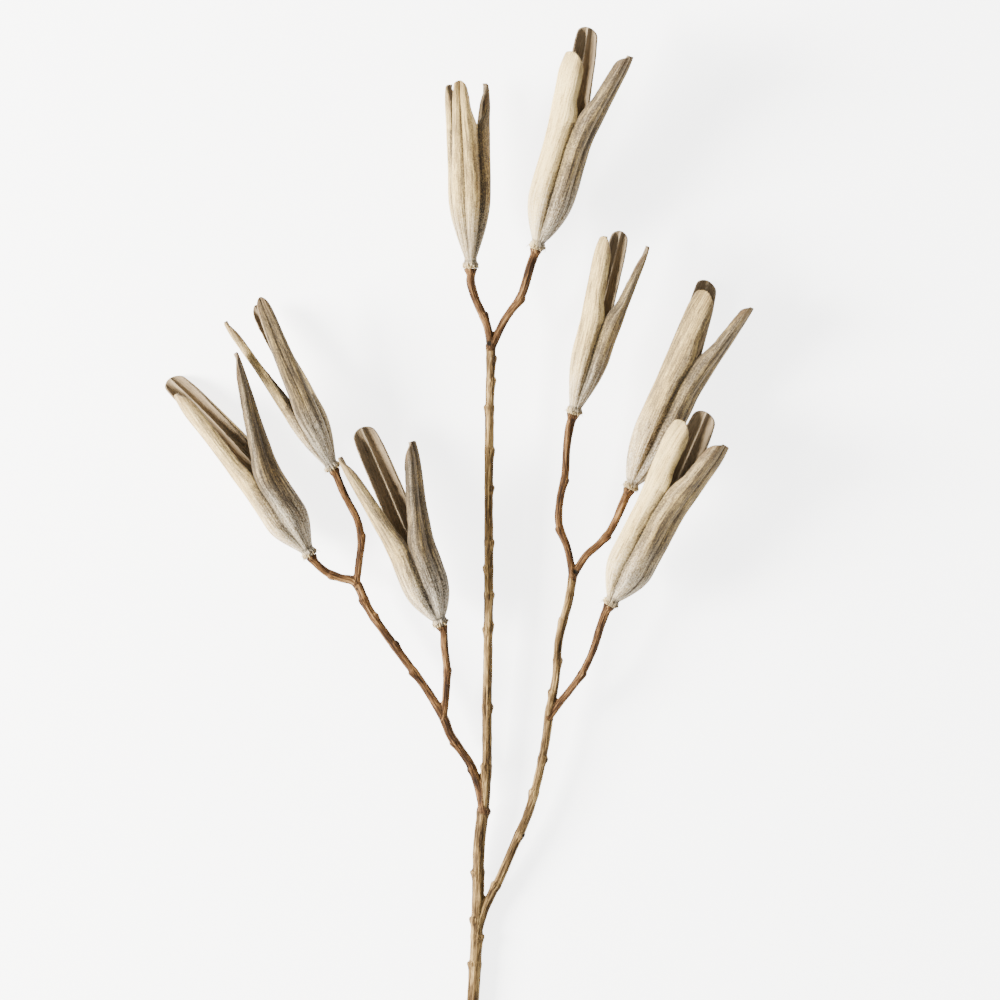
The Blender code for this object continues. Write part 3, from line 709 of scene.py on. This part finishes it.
class Wiring:
    """Adds and joins the nodes of one finish."""

    def __init__(self, name):
        self.finish = bpy.data.materials.new(name)
        self.finish.use_nodes = True
        self.tree = self.finish.node_tree
        self.shader = self.tree.nodes["Principled BSDF"]

    def plug(self, socket, value):
        if isinstance(value, bpy.types.NodeSocket):
            self.tree.links.new(value, socket)
        elif value is not None:
            socket.default_value = value

    def read(self, name):
        reader = self.tree.nodes.new("ShaderNodeAttribute")
        reader.attribute_name = name
        return reader.outputs

    def stretched(self, vector, scale):
        mapping = self.tree.nodes.new("ShaderNodeMapping")
        self.plug(mapping.inputs["Vector"], vector)
        mapping.inputs["Scale"].default_value = scale
        return mapping.outputs["Vector"]

    def grainy(self, vector, scale, detail=3.0, roughness=0.55):
        texture = self.tree.nodes.new("ShaderNodeTexNoise")
        self.plug(texture.inputs["Vector"], vector)
        texture.inputs["Scale"].default_value = scale
        texture.inputs["Detail"].default_value = detail
        texture.inputs["Roughness"].default_value = roughness
        return texture.outputs["Fac"]

    def figure(self, operation, *values):
        sum_node = self.tree.nodes.new("ShaderNodeMath")
        sum_node.operation = operation
        for socket, value in zip(sum_node.inputs, values):
            self.plug(socket, value)
        return sum_node.outputs[0]

    def spread(self, value, low, high, to_low=0.0, to_high=1.0):
        spreader = self.tree.nodes.new("ShaderNodeMapRange")
        spreader.interpolation_type = "SMOOTHSTEP"
        for socket, given in zip(spreader.inputs, (value, low, high, to_low, to_high)):
            self.plug(socket, given)
        return spreader.outputs[0]

    def tint(self, share, stops):
        ramp = self.tree.nodes.new("ShaderNodeValToRGB")
        self.plug(ramp.inputs[0], share)
        while len(ramp.color_ramp.elements) < len(stops):
            ramp.color_ramp.elements.new(0.5)
        for element, (place, colour) in zip(ramp.color_ramp.elements, stops):
            element.position = place
            element.color = (*colour, 1.0)
        return ramp.outputs[0]

    def blended(self, share, first, second):
        mix = self.tree.nodes.new("ShaderNodeMix")
        mix.data_type = "RGBA"
        colours = [socket for socket in mix.inputs if socket.type == "RGBA"]
        self.plug(mix.inputs[0], share)
        self.plug(colours[0], first)
        self.plug(colours[1], second)
        return next(socket for socket in mix.outputs if socket.type == "RGBA")

    def raised(self, height, strength, distance, under=None):
        relief = self.tree.nodes.new("ShaderNodeBump")
        relief.inputs["Strength"].default_value = strength
        relief.inputs["Distance"].default_value = distance
        self.plug(relief.inputs["Height"], height)
        if under is not None:
            self.plug(relief.inputs["Normal"], under)
        return relief.outputs["Normal"]


def pod_finish():
    """Dry papery pod wall: pale velvet outside, brown and bare inside."""
    w = Wiring("dried_pod_wall")
    fibre = w.read("fibre")["Vector"]
    tone = w.read("tone")
    parts = w.tree.nodes.new("ShaderNodeSeparateColor")
    w.plug(parts.inputs[0], tone["Color"])
    # The second share is painted shade in the grooves, seam valleys and hollows, with a dark line
    # round the collar
    inside, groove, frost = parts.outputs
    tip = tone["Alpha"]
    # Paleness, partly the wall's own tone and partly painted shade on the valves that face away
    # from the lamp
    pale = w.read("pale")["Fac"]

    strands = w.grainy(w.stretched(fibre, (1.6, 0.07, 1.6)), 1.0, 5.0, 0.62)
    fine = w.grainy(w.stretched(fibre, (2.9, 0.28, 2.9)), 1.0, 3.0, 0.6)
    blotch = w.grainy(w.stretched(fibre, (0.30, 0.085, 0.30)), 1.0, 4.0, 0.6)
    dots = w.grainy(w.stretched(fibre, (2.3, 1.4, 2.3)), 1.0, 3.0, 0.7)

    shade = w.figure("MULTIPLY_ADD", w.figure("SUBTRACT", strands, 0.5), 1.5, pale)
    shade = w.figure("MULTIPLY_ADD", w.figure("SUBTRACT", blotch, 0.5), 0.9, shade)
    shade = w.figure("MULTIPLY_ADD", w.figure("SUBTRACT", fine, 0.5), 0.7, shade)
    shade = w.figure("MULTIPLY_ADD", w.figure("SUBTRACT", dots, 0.5), 1.1, shade)
    outside = w.tint(shade, (
        (0.00, (0.046, 0.033, 0.018)), (0.28, (0.120, 0.085, 0.043)),
        (0.55, (0.290, 0.200, 0.082)), (0.82, (0.560, 0.395, 0.150)),
        (1.00, (0.720, 0.540, 0.235))))
    specks = w.figure("MULTIPLY", w.spread(dots, 0.36, 0.62), w.spread(strands, 0.32, 0.62))
    frosting = w.figure("MULTIPLY", frost, specks)
    outside = w.blended(frosting, outside, (0.70, 0.635, 0.51, 1.0))
    # Painted shade in the grooves and seam valleys, broken into specks
    painted_groove_shade = w.figure("MULTIPLY", groove, w.spread(dots, 0.70, 0.34, 0.45, 1.0))
    outside = w.blended(w.figure("MULTIPLY", painted_groove_shade, 0.9), outside, (0.034, 0.026, 0.018, 1.0))
    browned = w.figure("MULTIPLY", tip, w.spread(blotch, 0.35, 0.6))
    outside = w.blended(w.figure("MULTIPLY", browned, 0.75), outside, (0.090, 0.045, 0.018, 1.0))

    bare = w.figure("MULTIPLY_ADD", w.figure("SUBTRACT", blotch, 0.5), 1.0, strands)
    # Painted shade darkens the lining in its hollows
    bare = w.figure("MULTIPLY_ADD", groove, -0.12, bare)
    lining = w.tint(w.figure("ADD", bare, 0.1), (
        (0.10, (0.060, 0.042, 0.024)), (0.42, (0.150, 0.106, 0.058)),
        (0.68, (0.220, 0.160, 0.090)), (0.95, (0.320, 0.240, 0.145))))
    ridge = w.figure("MULTIPLY", frost, w.spread(dots, 0.40, 0.62, 0.1, 0.9))
    lining = w.blended(ridge, lining, (0.33, 0.265, 0.175, 1.0))
    w.plug(w.shader.inputs["Base Color"], w.blended(inside, outside, lining))

    w.plug(w.shader.inputs["Roughness"], w.spread(fine, 0.2, 0.8, 0.78, 0.96))
    w.shader.inputs["Sheen Weight"].default_value = 0.05
    w.shader.inputs["Sheen Roughness"].default_value = 0.5
    w.shader.inputs["Specular IOR Level"].default_value = 0.2
    relief = w.raised(strands, 0.8, 0.0009)
    relief = w.raised(dots, 0.8, 0.0005, relief)
    w.plug(w.shader.inputs["Normal"], w.raised(fine, 0.5, 0.0004, relief))
    return w.finish


def stem_finish():
    """Dry fibrous stem: tan and brown lengthwise streaks, redder stalks."""
    w = Wiring("dried_stem_bark")
    grain = w.read("grain")["Vector"]
    stalk = w.read("stalk")["Fac"]
    strands = w.grainy(w.stretched(grain, (1.5, 0.05, 1.5)), 1.0, 5.0, 0.6)
    fine = w.grainy(w.stretched(grain, (2.8, 0.20, 2.8)), 1.0, 3.0, 0.6)
    blotch = w.grainy(w.stretched(grain, (0.5, 0.07, 0.5)), 1.0, 4.0, 0.6)
    shade = w.figure("MULTIPLY_ADD", w.figure("SUBTRACT", blotch, 0.5), 1.0, strands)
    shade = w.figure("MULTIPLY_ADD", w.figure("SUBTRACT", fine, 0.5), 0.8, shade)
    tan = w.tint(shade, (
        (0.28, (0.020, 0.010, 0.003)), (0.43, (0.070, 0.040, 0.014)),
        (0.57, (0.150, 0.092, 0.034)), (0.76, (0.340, 0.225, 0.088))))
    red = w.tint(shade, (
        (0.30, (0.014, 0.006, 0.002)), (0.45, (0.044, 0.020, 0.007)),
        (0.58, (0.100, 0.048, 0.017)), (0.76, (0.230, 0.128, 0.048))))
    pit = w.read("pit")["Fac"]
    bark = w.blended(stalk, tan, red)
    w.plug(w.shader.inputs["Base Color"], w.blended(pit, bark, (0.006, 0.004, 0.002, 1.0)))
    w.plug(w.shader.inputs["Roughness"], w.spread(fine, 0.2, 0.8, 0.65, 0.9))
    w.shader.inputs["Specular IOR Level"].default_value = 0.1
    relief = w.raised(strands, 0.9, 0.0008)
    w.plug(w.shader.inputs["Normal"], w.raised(fine, 0.6, 0.0004, relief))
    return w.finish


# The studio

def plain_finish(name, colour, roughness):
    w = Wiring(name)
    w.shader.inputs["Base Color"].default_value = (*colour, 1.0)
    w.shader.inputs["Roughness"].default_value = roughness
    return w.finish


def pale_floor():
    bm = bmesh.new()
    bmesh.ops.create_grid(bm, x_segments=1, y_segments=1, size=3.0)
    mesh = bpy.data.meshes.new("floor")
    bm.to_mesh(mesh)
    bm.free()
    finish = plain_finish("pale_floor", (0.80, 0.80, 0.795), 0.9)
    glow = finish.node_tree.nodes["Principled BSDF"]
    glow.inputs["Emission Color"].default_value = (1.0, 1.0, 0.995, 1.0)
    glow.inputs["Emission Strength"].default_value = FLOOR_GLOW
    mesh.materials.append(finish)
    floor = bpy.data.objects.new("floor", mesh)
    bpy.context.scene.collection.objects.link(floor)


def soft_light(name, place, size, power, colour):
    """A square lamp that looks at the middle of the spray."""
    data = bpy.data.lights.new(name, "AREA")
    data.shape = "SQUARE"
    data.size = size
    data.energy = power
    data.color = colour
    lamp = bpy.data.objects.new(name, data)
    lamp.location = place
    lamp.rotation_euler = (-Vector(place)).to_track_quat("-Z", "Y").to_euler()
    bpy.context.scene.collection.objects.link(lamp)


def studio():
    world = bpy.data.worlds.new("studio")
    world.use_nodes = True
    shade = world.node_tree.nodes["Background"]
    shade.inputs["Color"].default_value = (1.0, 1.0, 1.0, 1.0)
    shade.inputs["Strength"].default_value = SKY_STRENGTH
    bpy.context.scene.world = world
    soft_light("key", KEY_PLACE, KEY_SIZE, KEY_POWER, (1.0, 0.98, 0.94))


def overhead_camera():
    data = bpy.data.cameras.new("overhead")
    data.sensor_width = 36.0
    data.lens = 225.0
    data.clip_end = 10.0
    camera = bpy.data.objects.new("overhead", data)
    camera.location = ((200.0 - PLAN_CENTRE[0]) * MM, (200.0 - PLAN_CENTRE[1]) * MM, 2.516)
    bpy.context.scene.collection.objects.link(camera)
    bpy.context.scene.camera = camera


def main():
    overhead_camera()
    studio()
    pale_floor()
    stem = branching_stem(stem_finish())
    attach(stem, "root")
    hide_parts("stem")
    wall = pod_finish()
    for pod in PODS:
        piece = seed_pod(pod, wall)
        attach(piece, "root")
        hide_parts(pod.name)


main()
